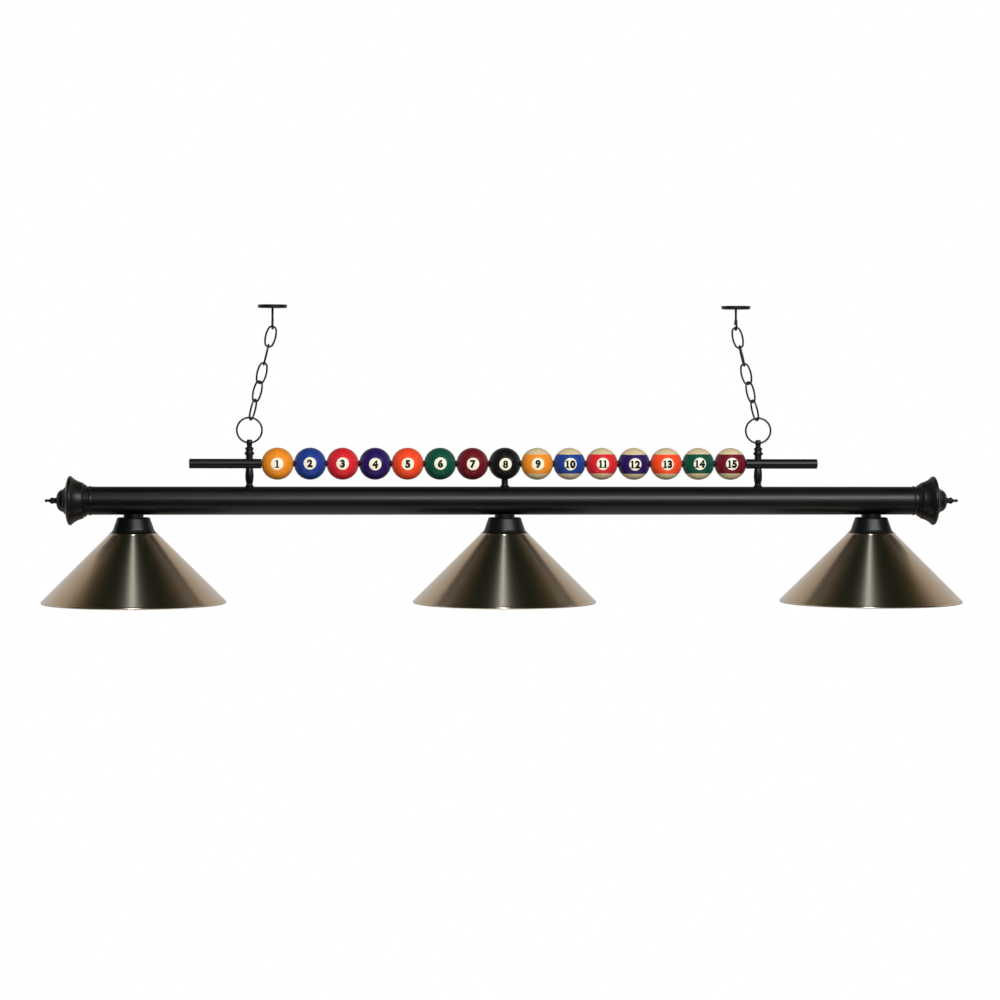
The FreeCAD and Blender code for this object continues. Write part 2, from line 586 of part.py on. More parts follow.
def bulb(side, sign):
    """Pear-shaped glass on a screw base, in its lampholder."""
    derive(f"{side}_bulb_middle", "bulb_seat + base_height + bulb_height - bulb_radius")
    middle = f"{side}_bulb_middle"
    where = f"{sign} * shade_spacing"
    swell = "bulb_radius * 0.7071"
    glass = turned(f"{side}_bulb_glass", [
        ("bulb_neck - glass_wall", "2 - bulb_seat - base_height"),
        ("bulb_neck", "2 - bulb_seat - base_height"),
        ("bulb_neck", "-bulb_seat - base_height - 8"),
        (swell, f"{swell} - {middle}", 40),
        (0, f"-{middle} - bulb_radius", "-bulb_radius"),
        (0, f"glass_wall - {middle} - bulb_radius"),
        ("(bulb_radius - glass_wall) * 0.7071", f"(bulb_radius - glass_wall) * 0.7071 - {middle}",
         "bulb_radius - glass_wall"),
        ("bulb_neck - glass_wall", "-bulb_seat - base_height - 8", -40)])
    base = turned(f"{side}_bulb_base", [
        (0, "-bulb_seat"), ("contact_radius", "-bulb_seat"), (7, "-bulb_seat - 2.5"),
        ("base_radius", "-bulb_seat - 6"), ("base_radius", "-bulb_seat - base_height"),
        ("bulb_neck - glass_wall", "-bulb_seat - base_height"),
        ("bulb_neck - glass_wall", "2 - bulb_seat - base_height"),
        (0, "2 - bulb_seat - base_height")])
    for piece in (glass, base):
        place(piece, where, 0, "-tube_drop")
    group(f"{side}_bulb", [glass, base])


def holder_hardware():
    """Lampholders, the threaded nipples they hang on, their nuts and the shade lock rings."""
    holders, nipples, nuts, rings = [], [], [], []
    grip = "nipple_radius + fixed_clearance"
    for sign in SHADE_SIDES.values():
        where = f"{sign} * shade_spacing"
        holder = turned("lampholder", [
            (grip, "-holder_top"), ("holder_radius - 2", "-holder_top"),
            ("holder_radius", "-holder_top - 2"), ("holder_radius", "-cup_bottom"),
            ("thread_radius", "-cup_bottom"), ("thread_radius", "-holder_foot"),
            ("base_radius + running_clearance + free_gap", "-holder_foot"),
            ("base_radius + running_clearance + free_gap", "1.5 - bulb_seat"),
            (grip, "1.5 - bulb_seat")])
        nipple = turned("nipple", [
            ("nipple_bore", "-holder_top - 6"), ("nipple_radius", "-holder_top - 6"),
            ("nipple_radius", "8 - nipple_nut_seat"), ("nipple_bore", "8 - nipple_nut_seat")])
        ring = turned("lock_ring", [
            ("thread_radius + fixed_clearance", "-cup_bottom - shade_wall"),
            ("lock_ring_radius", "-cup_bottom - shade_wall"),
            ("lock_ring_radius", "-cup_bottom - shade_wall - lock_ring_height"),
            ("thread_radius + fixed_clearance", "-cup_bottom - shade_wall - lock_ring_height")])
        blank = hexagon("nipple_nut_blank", "nipple_nut_flats", "nut_height")
        bore = cylinder("nipple_nut_thread", "nipple_radius + fixed_clearance", "nut_height")
        for piece in (holder, nipple, ring):
            place(piece, where, 0, "-tube_drop")
        for piece in (blank, bore):
            place(piece, where, 0, "-nipple_nut_seat - tube_drop")
        holders.append(holder)
        nipples.append(nipple)
        rings.append(ring)
        nuts.append(cut("nipple_nut", blank, [bore]))
    group("lampholders", holders)
    group("holder_nipples", nipples)
    group("nipple_nuts", nuts)
    group("shade_lock_rings", rings)


def wiring():
    """Cable inside the tube with a branch down each nipple, and the lead's empty inlet."""
    cable = cylinder("cable_run", "cable_radius", "2 * shade_spacing + 2 * cable_radius")
    place(cable, "-shade_spacing - cable_radius", 0, "-tube_drop", AXIS_X)
    parts = [cable]
    for sign in SHADE_SIDES.values():
        branch = cylinder("cable_branch", "branch_radius", "holder_top + cable_radius")
        parts.append(place(branch, f"{sign} * shade_spacing", 0,
                           "-holder_top - cable_radius - tube_drop"))
    node("internal_wiring", fused("cable_whole", parts))
    grommet = turned("inlet_grommet", [
        ("grommet_bore", "grommet_seat - grommet_lip"),
        ("grommet_radius", "grommet_seat - grommet_lip"), ("grommet_radius", "grommet_seat"),
        ("inlet_hole - fixed_clearance", "grommet_seat"),
        ("inlet_hole - fixed_clearance", "tube_radius + fixed_clearance"),
        ("grommet_radius", "tube_radius + fixed_clearance"),
        ("grommet_radius - 1", "tube_radius + grommet_lip"),
        ("grommet_bore", "tube_radius + grommet_lip")])
    node("inlet_grommet", place(grommet, "-inlet_place", 0, "-tube_drop", AXIS_Y))


# ---------------------------------------------------------------- build and write
main_tube()
for side, sign in SIDES.items():
    ceiling_hook(side, sign)
    hanging_chain(side, sign)
    end_cap(side, sign)
    side_post(side, sign)
cap_hardware()
middle_post()
post_hardware()
ball_rod()
balls()
for side, sign in SHADE_SIDES.items():
    shade_unit(side, sign)
    bulb(side, sign)
holder_hardware()
wiring()
doc.recompute()

failed = [item.Label for item in doc.Objects if {"Invalid", "Error"} & set(item.State)]
for name, thing in nodes.items():
    if thing.Shape.isNull() or not thing.Shape.isValid():
        failed.append(name)
if failed:
    raise RuntimeError("failed: " + ", ".join(failed))

os.makedirs("parts", exist_ok=True)
for name, thing in nodes.items():
    thing.Shape.exportStep(f"parts/{name}.step")
print(len(nodes), "sub-parts written")
for name in ("hook_place", "ring_drop", "tube_drop", "rod_height", "shade_foot", "holder_foot"):
    print(name, round(getattr(derived, name), 3))
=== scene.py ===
import math

import bmesh
import bpy
from mathutils import Matrix, Vector


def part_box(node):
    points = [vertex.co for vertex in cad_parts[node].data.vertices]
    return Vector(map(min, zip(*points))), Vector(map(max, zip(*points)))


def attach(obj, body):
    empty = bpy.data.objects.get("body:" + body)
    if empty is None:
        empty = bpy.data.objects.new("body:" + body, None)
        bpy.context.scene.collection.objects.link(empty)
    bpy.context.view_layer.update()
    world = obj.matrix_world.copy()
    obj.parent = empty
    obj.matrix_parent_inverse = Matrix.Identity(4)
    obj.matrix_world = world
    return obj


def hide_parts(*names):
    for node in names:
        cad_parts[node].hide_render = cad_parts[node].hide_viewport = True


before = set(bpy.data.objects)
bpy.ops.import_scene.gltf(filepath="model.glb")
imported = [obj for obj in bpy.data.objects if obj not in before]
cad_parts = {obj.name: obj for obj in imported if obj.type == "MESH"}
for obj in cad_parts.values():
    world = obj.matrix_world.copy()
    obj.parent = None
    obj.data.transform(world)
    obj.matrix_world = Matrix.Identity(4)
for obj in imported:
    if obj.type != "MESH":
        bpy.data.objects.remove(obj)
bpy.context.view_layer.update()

# ---------------------------------------------------------------- studio
# The lamp hangs over a pale floor in a studio that is dark in front and pale behind. A key
# softbox lights the black metal and the balls, and a wide one only the balls; the shades
# get a narrow strip from high up and a small glint from beside the camera.
MM = 0.001
scene = bpy.context.scene
scene.view_settings.view_transform = "Standard"


def middle_of(node):
    """Centre of a CAD node's box."""
    low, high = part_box(node)
    return (low + high) / 2


def add_object(name, data):
    """Object at the origin, in the scene."""
    made = bpy.data.objects.new(name, data)
    scene.collection.objects.link(made)
    return made


def aimed(thing, place, target):
    """Put a camera or a light somewhere and turn it to its target."""
    thing.location = place
    thing.rotation_euler = (Vector(target) - Vector(place)).to_track_quat("-Z", "Y").to_euler()
    return thing


tube_middle = middle_of("main_tube")
# camera and lights are placed from the middle of the tube, in metres
EYE = Vector((-0.275, -5.341, 0.204))
AIM = Vector((-8.4 * MM, 0, 1.2 * MM))
LEVELLING = math.radians(0.11)
camera_data = bpy.data.cameras.new("camera")
camera_data.lens = 108
scene.camera = aimed(add_object("camera", camera_data), tube_middle + EYE, tube_middle + AIM)
scene.camera.rotation_euler.rotate_axis("Z", LEVELLING)


def softbox(name, place, size, power, colour=(1, 1, 1)):
    """Rectangular light facing the lamp."""
    light = bpy.data.lights.new(name, "AREA")
    light.shape = "RECTANGLE"
    light.size, light.size_y = size
    light.energy = power
    light.color = colour
    return aimed(add_object(name, light), tube_middle + Vector(place), tube_middle)


key_light = softbox("key_softbox", (0.9, -2.6, 1.38), (3.0, 0.74), 68)
ball_light = softbox("ball_softbox", (0, -4.6, 0.9), (3.4, 2.2), 130)
softbox("shade_strip", (-0.655, -5.34, 7.6), (0.25, 4.9), 46, (0.86, 0.97, 1))
glint_light = softbox("front_glint", (-0.42, -5.3, 0.35), (0.55, 0.5), 70)

def new_node(tree, kind, **values):
    """Node in a node tree, with its inputs or settings filled in."""
    made = tree.nodes.new(kind)
    for name, value in values.items():
        socket = name.replace("_", " ")
        if socket in made.inputs:
            made.inputs[socket].default_value = value
        else:
            setattr(made, name, value)
    return made


world = bpy.data.worlds.new("studio_room")
scene.world = world
world.use_nodes = True
room = world.node_tree
room.nodes.clear()
toward = new_node(room, "ShaderNodeTexCoord")
axes = new_node(room, "ShaderNodeSeparateXYZ")
upward = new_node(room, "ShaderNodeMapRange", From_Min=-1)
sweep = new_node(room, "ShaderNodeValToRGB")
# tones by how far up a direction points, from straight down to straight up
ROOM_TONES = [(0.0, (0.24, 0.19, 0.14)), (0.40, (0.36, 0.33, 0.30)), (0.50, (0.58, 0.58, 0.58)),
              (0.65, (0.52, 0.50, 0.49)), (0.80, (0.37, 0.31, 0.25)), (0.90, (0.085, 0.068, 0.036)),
              (0.96, (0.012, 0.015, 0.008)), (1.0, (0.004, 0.006, 0.003))]
while len(sweep.color_ramp.elements) < len(ROOM_TONES):
    sweep.color_ramp.elements.new(1)
for stop, (position, tone) in zip(sweep.color_ramp.elements, ROOM_TONES):
    stop.position = position
    stop.color = (*tone, 1)
behind = new_node(room, "ShaderNodeMapRange", From_Min=-0.25, From_Max=0.15)
dark_front = new_node(room, "ShaderNodeMix", data_type="RGBA", A=(0.012, 0.014, 0.010, 1))
lit = new_node(room, "ShaderNodeBackground")
seen = new_node(room, "ShaderNodeBackground", Color=(1, 1, 1, 1))
ray = new_node(room, "ShaderNodeLightPath")
pick = new_node(room, "ShaderNodeMixShader")
out = new_node(room, "ShaderNodeOutputWorld")
room.links.new(toward.outputs["Generated"], axes.inputs[0])
room.links.new(axes.outputs["Z"], upward.inputs["Value"])
room.links.new(upward.outputs[0], sweep.inputs[0])
room.links.new(axes.outputs["Y"], behind.inputs["Value"])
room.links.new(behind.outputs[0], dark_front.inputs["Factor"])
room.links.new(sweep.outputs[0], dark_front.inputs["B"])
room.links.new(dark_front.outputs["Result"], lit.inputs["Color"])
room.links.new(ray.outputs["Is Camera Ray"], pick.inputs[0])
room.links.new(lit.outputs[0], pick.inputs[1])
room.links.new(seen.outputs[0], pick.inputs[2])
room.links.new(pick.outputs[0], out.inputs[0])


SHARP_EDGE = math.radians(40)


def finished(name, shape):
    """Object from a bmesh: doubles merged, faces outwards, smooth except at sharp edges."""
    bmesh.ops.remove_doubles(shape, verts=shape.verts, dist=1e-6)
    bmesh.ops.recalc_face_normals(shape, faces=shape.faces)
    for face in shape.faces:
        face.smooth = True
    for edge in shape.edges:
        edge.smooth = len(edge.link_faces) != 2 or edge.calc_face_angle() < SHARP_EDGE
    mesh = bpy.data.meshes.new(name)
    shape.to_mesh(mesh)
    shape.free()
    return add_object(name, mesh)


def new_finish(name, colour, **sockets):
    """Material with its constant values set on the Principled shader's own sockets."""
    made = bpy.data.materials.new(name)
    made.use_nodes = True
    shader = made.node_tree.nodes["Principled BSDF"]
    shader.inputs["Base Color"].default_value = (*colour, 1)
    for socket, value in sockets.items():
        shader.inputs[socket.replace("_", " ")].default_value = value
    return made


def add_node(finish, kind, **values):
    """Node in a material, with its inputs or settings filled in."""
    return new_node(finish.node_tree, kind, **values)


def join(finish, source, target):
    """Link an output to an input; a material's shader inputs go by name."""
    if isinstance(target, str):
        target = finish.node_tree.nodes["Principled BSDF"].inputs[target]
    finish.node_tree.links.new(source, target)


def coordinates(finish, centre=(0, 0, 0), rotation=(0, 0, 0)):
    """Object coordinates about a piece's own centre, and turned about it."""
    source = add_node(finish, "ShaderNodeTexCoord")
    moved = add_node(finish, "ShaderNodeMapping", Location=[-value for value in centre])
    turned_to = add_node(finish, "ShaderNodeMapping", Rotation=rotation)
    join(finish, source.outputs["Object"], moved.inputs["Vector"])
    join(finish, moved.outputs[0], turned_to.inputs["Vector"])
    return turned_to.outputs[0]


FLOOR_DEPTH = 4.8
FLOOR_RADIUS = 5
floor_shape = bmesh.new()
bmesh.ops.create_circle(floor_shape, cap_ends=True, segments=96, radius=FLOOR_RADIUS,
                        matrix=Matrix.Translation((0, 0, -FLOOR_DEPTH)))
floor = finished("studio_floor", floor_shape)
floor_finish = new_finish("pale_floor", (0.8, 0.78, 0.75), Roughness=0.7, Emission_Strength=0.45,
                          Emission_Color=(1, 0.98, 0.95, 1))
mottle = add_node(floor_finish, "ShaderNodeTexNoise", Scale=3)
floor_tone = add_node(floor_finish, "ShaderNodeMix", data_type="RGBA",
                      A=(0.78, 0.76, 0.73, 1), B=(0.84, 0.82, 0.80, 1))
join(floor_finish, mottle.outputs["Fac"], floor_tone.inputs["Factor"])
join(floor_finish, floor_tone.outputs["Result"], "Base Color")
floor.data.materials.append(floor_finish)


# ---------------------------------------------------------------- black metalwork
# Tube, end cups, posts, sleeves, spacers, eyelets, hooks and ceiling plates are turned,
# spun or bent steel, powder coated satin black before assembly: a fine orange-peel skin.
# The rod is blackened steel, and the hidden studs, nuts and stops are zinc plated.
def new_group(name, inputs, outputs):
    """Empty shader node group with its sockets."""
    made = bpy.data.node_groups.new(name, "ShaderNodeTree")
    for socket, kind, value in inputs:
        entry = made.interface.new_socket(socket, in_out="INPUT", socket_type=kind)
        if value is not None:
            entry.default_value = value
    for socket, kind in outputs:
        made.interface.new_socket(socket, in_out="OUTPUT", socket_type=kind)
    return made


skin = new_group("coated_skin",
                 [("Vector", "NodeSocketVector", None), ("Dark", "NodeSocketColor", (0.01, 0.01, 0.01, 1)),
                  ("Light", "NodeSocketColor", (0.02, 0.02, 0.02, 1)),
                  ("Grain", "NodeSocketFloat", 900.0), ("Smoothest", "NodeSocketFloat", 0.35),
                  ("Roughest", "NodeSocketFloat", 0.5)],
                 [("Color", "NodeSocketColor"), ("Roughness", "NodeSocketFloat"),
                  ("Height", "NodeSocketFloat")])


enter = new_node(skin, "NodeGroupInput")
leave = new_node(skin, "NodeGroupOutput")
peel = new_node(skin, "ShaderNodeTexNoise", Detail=3.0, Roughness=0.6)
patches = new_node(skin, "ShaderNodeTexNoise", Scale=14.0, Detail=4.0)
patch_edge = new_node(skin, "ShaderNodeMapRange", From_Min=0.35, From_Max=0.7)
shade_of_black = new_node(skin, "ShaderNodeMix", data_type="RGBA")
roughness = new_node(skin, "ShaderNodeMapRange")
skin.links.new(enter.outputs["Vector"], peel.inputs["Vector"])
skin.links.new(enter.outputs["Vector"], patches.inputs["Vector"])
skin.links.new(enter.outputs["Grain"], peel.inputs["Scale"])
skin.links.new(patches.outputs["Fac"], patch_edge.inputs["Value"])
skin.links.new(patch_edge.outputs[0], shade_of_black.inputs["Factor"])
skin.links.new(enter.outputs["Dark"], shade_of_black.inputs["A"])
skin.links.new(enter.outputs["Light"], shade_of_black.inputs["B"])
skin.links.new(patches.outputs["Fac"], roughness.inputs["Value"])
skin.links.new(enter.outputs["Smoothest"], roughness.inputs["To Min"])
skin.links.new(enter.outputs["Roughest"], roughness.inputs["To Max"])
skin.links.new(shade_of_black.outputs["Result"], leave.inputs["Color"])
skin.links.new(roughness.outputs[0], leave.inputs["Roughness"])
skin.links.new(peel.outputs["Fac"], leave.inputs["Height"])


def coated(name, dark, light, grain, rough, depth, **sockets):
    """Finish with the coated skin's tone, roughness and fine relief."""
    made = new_finish(name, dark, **sockets)
    look = add_node(made, "ShaderNodeGroup", node_tree=skin)
    for socket, value in (("Dark", (*dark, 1)), ("Light", (*light, 1)), ("Grain", grain),
                          ("Smoothest", rough[0]), ("Roughest", rough[1])):
        look.inputs[socket].default_value = value
    relief = add_node(made, "ShaderNodeBump", Strength=1.0, Distance=depth)
    join(made, coordinates(made), look.inputs["Vector"])
    join(made, look.outputs["Color"], "Base Color")
    join(made, look.outputs["Roughness"], "Roughness")
    join(made, look.outputs["Height"], relief.inputs["Height"])
    join(made, relief.outputs[0], "Normal")
    return made


satin_black = coated("satin_black_coat", (0.0045, 0.0045, 0.005), (0.0075, 0.0075, 0.008), 900,
                     (0.32, 0.42), 0.00001, Specular_IOR_Level=0.45)
blackened_steel = coated("blackened_steel", (0.012, 0.012, 0.012), (0.03, 0.03, 0.03), 700,
                         (0.3, 0.4), 0.00001, Metallic=0.6)
bright_steel = coated("zinc_plated_steel", (0.50, 0.50, 0.49), (0.62, 0.61, 0.59), 500,
                      (0.28, 0.42), 0.00001, Metallic=1.0)


def paint_nodes(finish, *nodes):
    """Give CAD nodes a finish in all their material slots."""
    for name in nodes:
        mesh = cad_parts[name].data
        mesh.materials.clear()
        mesh.materials.append(finish)


SIDES = ("left", "right")
for side in SIDES:
    paint_nodes(satin_black, f"{side}_ceiling_plate", f"{side}_ceiling_hook", f"{side}_post",
                f"{side}_eyelet", f"{side}_rod_sleeve", f"{side}_end_cup", f"{side}_end_dome")
paint_nodes(satin_black, "middle_post", "main_tube", "end_finials", "ball_spacers")
paint_nodes(blackened_steel, "ball_rod")
paint_nodes(bright_steel, "post_studs", "post_nuts", "end_stops", "end_studs",
            "holder_nipples", "nipple_nuts")

# ---------------------------------------------------------------- chains and rings
# Oval links bent from round wire and butt welded, with a split ring at the foot of each
# chain, which goes through the eyelet. The wire is dipped in a slightly glossier black.
chain_black = coated("dipped_chain_black", (0.010, 0.010, 0.010), (0.020, 0.020, 0.019), 1400,
                     (0.26, 0.42), 0.00002, Specular_IOR_Level=0.6)
for side in SIDES:
    paint_nodes(chain_black, f"{side}_top_link", f"{side}_chain_links", f"{side}_ring")


# ---------------------------------------------------------------- shades
# Cones spun from thin steel sheet on a lathe, brushed round and nickel plated, with a
# rolled rim and a shallow collar that the black cup covers; white enamel inside.
def turned(outline, steps, segments=6):
    """Bmesh turned about Z from a closed outline of (up, radius) or (up, radius, rounding)
    corners in millimetres; an edge along the axis is left out."""
    shape = bmesh.new()
    corners = [shape.verts.new((corner[1] * MM, 0, corner[0] * MM)) for corner in outline]
    for start, end in zip(corners, corners[1:] + corners[:1]):
        if start.co.x > 0 or end.co.x > 0:
            shape.edges.new((start, end))
    for corner, entry in zip(corners, outline):
        if len(entry) == 3:
            bmesh.ops.bevel(shape, geom=[corner], offset=entry[2] * MM, offset_type="OFFSET",
                            segments=segments, profile=0.5, affect="VERTICES", material=-1)
    bmesh.ops.spin(shape, geom=shape.verts[:] + shape.edges[:], cent=(0, 0, 0), axis=(0, 0, 1),
                   angle=math.tau, steps=steps, use_merge=True)
    return shape


def spun_metal(name, colour, centre):
    """Brushed plate: fine rings round the cone's axis that spread the gloss up and down."""
    made = new_finish(name, colour, Metallic=1.0, Anisotropic=0.92, Anisotropic_Rotation=0.25)
    around = add_node(made, "ShaderNodeTangent", direction_type="RADIAL", axis="Z")
    join(made, around.outputs[0], "Tangent")
    here = coordinates(made, centre)
    upright = add_node(made, "ShaderNodeVectorMath", operation="MULTIPLY")
    upright.inputs[1].default_value = (12, 12, 2600)
    join(made, here, upright.inputs[0])
    rings = add_node(made, "ShaderNodeTexNoise", Scale=1.0, Detail=4.0, Roughness=0.7)
    join(made, upright.outputs[0], rings.inputs["Vector"])
    tone = add_node(made, "ShaderNodeMix", data_type="RGBA",
                    A=(*(value * 0.93 for value in colour), 1), B=(*colour, 1))
    join(made, rings.outputs["Fac"], tone.inputs["Factor"])
    join(made, tone.outputs["Result"], "Base Color")
    rough = add_node(made, "ShaderNodeMapRange", To_Min=0.27, To_Max=0.35)
    join(made, rings.outputs["Fac"], rough.inputs["Value"])
    join(made, rough.outputs[0], "Roughness")
    relief = add_node(made, "ShaderNodeBump", Strength=0.25, Distance=0.00002)
    join(made, rings.outputs["Fac"], relief.inputs["Height"])
    join(made, relief.outputs[0], "Normal")
    return made


white_enamel = coated("white_enamel", (0.80, 0.79, 0.75), (0.86, 0.85, 0.82), 700, (0.2, 0.32),
                      0.00003, Coat_Weight=0.3)
NICKEL = (0.86, 0.74, 0.59)
burnished = coated("burnished_nickel_rim", (0.80, 0.70, 0.56), (0.88, 0.78, 0.64), 900, (0.16, 0.24),
                   0.000005, Metallic=1.0)


def reach_of(light, pieces, state):
    """Let a light fall only on some pieces (INCLUDE), or on all but those (EXCLUDE)."""
    group = bpy.data.collections.new(f"{light.name}_reach")
    for piece in pieces:
        group.objects.link(piece)
    light.light_linking.receiver_collection = group
    for entry in group.collection_objects:
        entry.light_linking.link_state = state


SHADE_WALL = 0.8
SHADE_ROLL = 2.2
COLLAR_RADIUS = 44.2
COLLAR_HEIGHT = 3
HOLE_RADIUS = 19.85
SHADE_SIDES = ("left", "middle", "right")
shades = []
for side in SHADE_SIDES:
    low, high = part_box(f"{side}_shade")
    centre = middle_of(f"{side}_shade")
    top = (high.z - low.z) / MM
    rim = (high.x - low.x) / 2 / MM - SHADE_ROLL
    cone_foot = 2 * SHADE_ROLL + 0.5
    cone_top = top - COLLAR_HEIGHT
    shape = turned([
        (top, HOLE_RADIUS), (top, COLLAR_RADIUS - 1, 1.1),
        (cone_top + 0.9, COLLAR_RADIUS - 1, 0.4), (cone_top, COLLAR_RADIUS, 0.6),
        (cone_foot, rim, 0.4),
        (2 * SHADE_ROLL - 0.2, rim + SHADE_ROLL * 0.55, 0.8), (SHADE_ROLL, rim + SHADE_ROLL, 1.6),
        (0.02, rim + 0.4, 1.7), (0.6, rim - SHADE_ROLL * 0.9, 1.2),
        (2.6, rim - SHADE_ROLL - 0.2, 0.9),
        (cone_foot - 1.1, rim - 1.6, 0.3), (cone_top - 0.3, COLLAR_RADIUS - 1.15, 0.5),
        (cone_top + 0.9, COLLAR_RADIUS - 1 - SHADE_WALL, 0.3),
        (top - SHADE_WALL, COLLAR_RADIUS - 1 - SHADE_WALL, 0.4), (top - SHADE_WALL, HOLE_RADIUS)],
        steps=256)
    bmesh.ops.translate(shape, vec=(centre.x, centre.y, low.z), verts=shape.verts)
    shade = finished(f"{side}_spun_shade", shape)
    nickel = spun_metal(f"{side}_brushed_nickel", NICKEL, centre)
    shade.data.materials.append(nickel)
    shade.data.materials.append(white_enamel)
    shade.data.materials.append(burnished)
    for face in shade.data.polygons:
        radial = Vector((face.center.x - centre.x, face.center.y - centre.y, 0)).normalized()
        inward = face.normal.dot(radial) < -0.1 or face.normal.z < -0.9
        if face.center.z < low.z + cone_foot * MM:
            face.material_index = 2
        else:
            face.material_index = int(inward)
    shades.append(shade)
    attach(shade, "lamp")
    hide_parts(f"{side}_shade")
reach_of(key_light, shades, "EXCLUDE")
reach_of(glint_light, shades, "INCLUDE")

# ---------------------------------------------------------------- cups and lampholders
# Each shade hangs under a small spun cup of steel, coated like the tube. The lampholder
# inside is moulded phenolic with a thread round its skirt, and the lock ring holds the shade.
phenolic = coated("black_phenolic", (0.012, 0.011, 0.010), (0.02, 0.018, 0.016), 500,
                  (0.22, 0.34), 0.00001)
for side in SHADE_SIDES:
    paint_nodes(satin_black, f"{side}_shade_cup")
paint_nodes(phenolic, "shade_lock_rings")
THREAD_PITCH = 3.6
THREAD_DEPTH = 0.7


def rolled_thread(first, last, crest, root):
    """Corners of a coarse round thread's outline, going down from first to last."""
    corners = []
    for turn in range(int((first - last) / THREAD_PITCH)):
        place = first - turn * THREAD_PITCH
        corners += [(place, root, 0.7), (place - THREAD_PITCH / 2, crest, 0.7)]
    return corners


HOLDER_RADIUS = 22.95
HOLDER_SHOULDER = 17.95
HOLDER_SKIRT = 19.75
HOLDER_BORE = 13.6
HOLDER_ROOF = 18.5
HOLDER_GRIP = 4.95
# what keeps a turned piece just inside its CAD node's box
MARGIN = 0.05
low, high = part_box("lampholders")
holder_length = (high.z - low.z) / MM
holder_top = high.z
holders = bmesh.new()
for side in SHADE_SIDES:
    shape = turned([
        (0, HOLDER_GRIP), (0, HOLDER_RADIUS - 2, 0.5), (-2, HOLDER_RADIUS, 1.2),
        (-HOLDER_SHOULDER, HOLDER_RADIUS, 0.6), (-HOLDER_SHOULDER, HOLDER_SKIRT)]
        + rolled_thread(-19, 2 - holder_length, HOLDER_SKIRT, HOLDER_SKIRT - THREAD_DEPTH)
        + [(MARGIN - holder_length, HOLDER_SKIRT - THREAD_DEPTH, 0.5),
           (MARGIN - holder_length, HOLDER_BORE, 0.5),
           (-HOLDER_ROOF, HOLDER_BORE, 0.5), (-HOLDER_ROOF, HOLDER_GRIP)], steps=96, segments=3)
    bmesh.ops.translate(shape, vec=(middle_of(f"{side}_shade").x, 0, holder_top), verts=shape.verts)
    part = bpy.data.meshes.new("holder")
    shape.to_mesh(part)
    shape.free()
    holders.from_mesh(part)
holders_made = finished("moulded_lampholders", holders)
holders_made.data.materials.append(phenolic)
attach(holders_made, "lamp")
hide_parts("lampholders")

# ---------------------------------------------------------------- bulbs
# Pear-shaped lamps of opal glass, cemented into a nickelled brass screw base, one to each
# shade. The base goes up into the lampholder, and the glass hangs below it.
opal = coated("opal_glass", (0.86, 0.85, 0.82), (0.90, 0.89, 0.87), 300, (0.12, 0.2), 0.00001)
plated_base = coated("nickelled_brass", (0.72, 0.68, 0.58), (0.80, 0.76, 0.66), 800, (0.2, 0.32),
                     0.000005, Metallic=1.0)
BASE_RADIUS = 13.05
NECK = 13.35
GLASS_TOP = -24
GLOBE = 29.95
for side in SHADE_SIDES:
    low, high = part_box(f"{side}_bulb")
    foot = (low.z - high.z) / MM
    globe_middle = foot + GLOBE + MARGIN
    base = turned([(-MARGIN, 0), (-MARGIN, 4.5, 0.6), (-2.5, 7, 0.8), (-6, BASE_RADIUS, 0.8)]
                  + rolled_thread(-7, -22.5, BASE_RADIUS, BASE_RADIUS - THREAD_DEPTH)
                  + [(GLASS_TOP + MARGIN, BASE_RADIUS, 0.3), (GLASS_TOP + MARGIN, 0)],
                  steps=96, segments=3)
    sweep_down = [(globe_middle + GLOBE * math.cos(math.radians(angle)),
                   GLOBE * math.sin(math.radians(angle))) for angle in range(45, 180, 5)]
    glass = turned([(GLASS_TOP, 0), (GLASS_TOP, NECK), (-34, NECK, 12)] + sweep_down
                   + [(foot + MARGIN, 0)], steps=128)
    for name, shape, finish in (("base", base, plated_base), ("glass", glass, opal)):
        bmesh.ops.translate(shape, vec=(middle_of(f"{side}_bulb").x, 0, high.z), verts=shape.verts)
        piece = finished(f"{side}_bulb_{name}", shape)
        piece.data.materials.append(finish)
        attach(piece, f"{side}_bulb")
        if name == "glass":
            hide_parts(f"{side}_bulb")

# ---------------------------------------------------------------- wiring
# A three-core cable in a grey cover lies in the tube, with a branch down to each holder;
# a rubber grommet at the back of the tube is where the lead goes in.
cover = coated("cable_cover", (0.30, 0.30, 0.29), (0.36, 0.36, 0.35), 600, (0.5, 0.6), 0.00002)
rubber = coated("grommet_rubber", (0.012, 0.012, 0.012), (0.022, 0.022, 0.021), 800,
                (0.6, 0.75), 0.00003)
paint_nodes(cover, "internal_wiring")
paint_nodes(rubber, "inlet_grommet")


# ---------------------------------------------------------------- balls
# Fifteen cast resin pool balls, drilled through for the rod: plain colours from one to
# seven, the black eight, and nine to fifteen in cream with a belt of the same colours.
printing = new_group("ball_print",
                     [("Vector", "NodeSocketVector", None), ("Belt", "NodeSocketFloat", 1.0),
                      ("Disc", "NodeSocketFloat", 0.012)],
                     [("Belt", "NodeSocketFloat"), ("Disc", "NodeSocketFloat"),
                      ("Depth", "NodeSocketFloat")])
enter = new_node(printing, "NodeGroupInput")
leave = new_node(printing, "NodeGroupOutput")
split = new_node(printing, "ShaderNodeSeparateXYZ")
flat = new_node(printing, "ShaderNodeVectorMath", operation="MULTIPLY")
flat.inputs[1].default_value = (1, 0, 1)
off_centre = new_node(printing, "ShaderNodeVectorMath", operation="LENGTH")
inside = new_node(printing, "ShaderNodeMath", operation="SUBTRACT")
disc_edge = new_node(printing, "ShaderNodeMapRange", From_Min=-0.0001, From_Max=0.0001)
height = new_node(printing, "ShaderNodeMath", operation="ABSOLUTE")
above = new_node(printing, "ShaderNodeMath", operation="SUBTRACT")
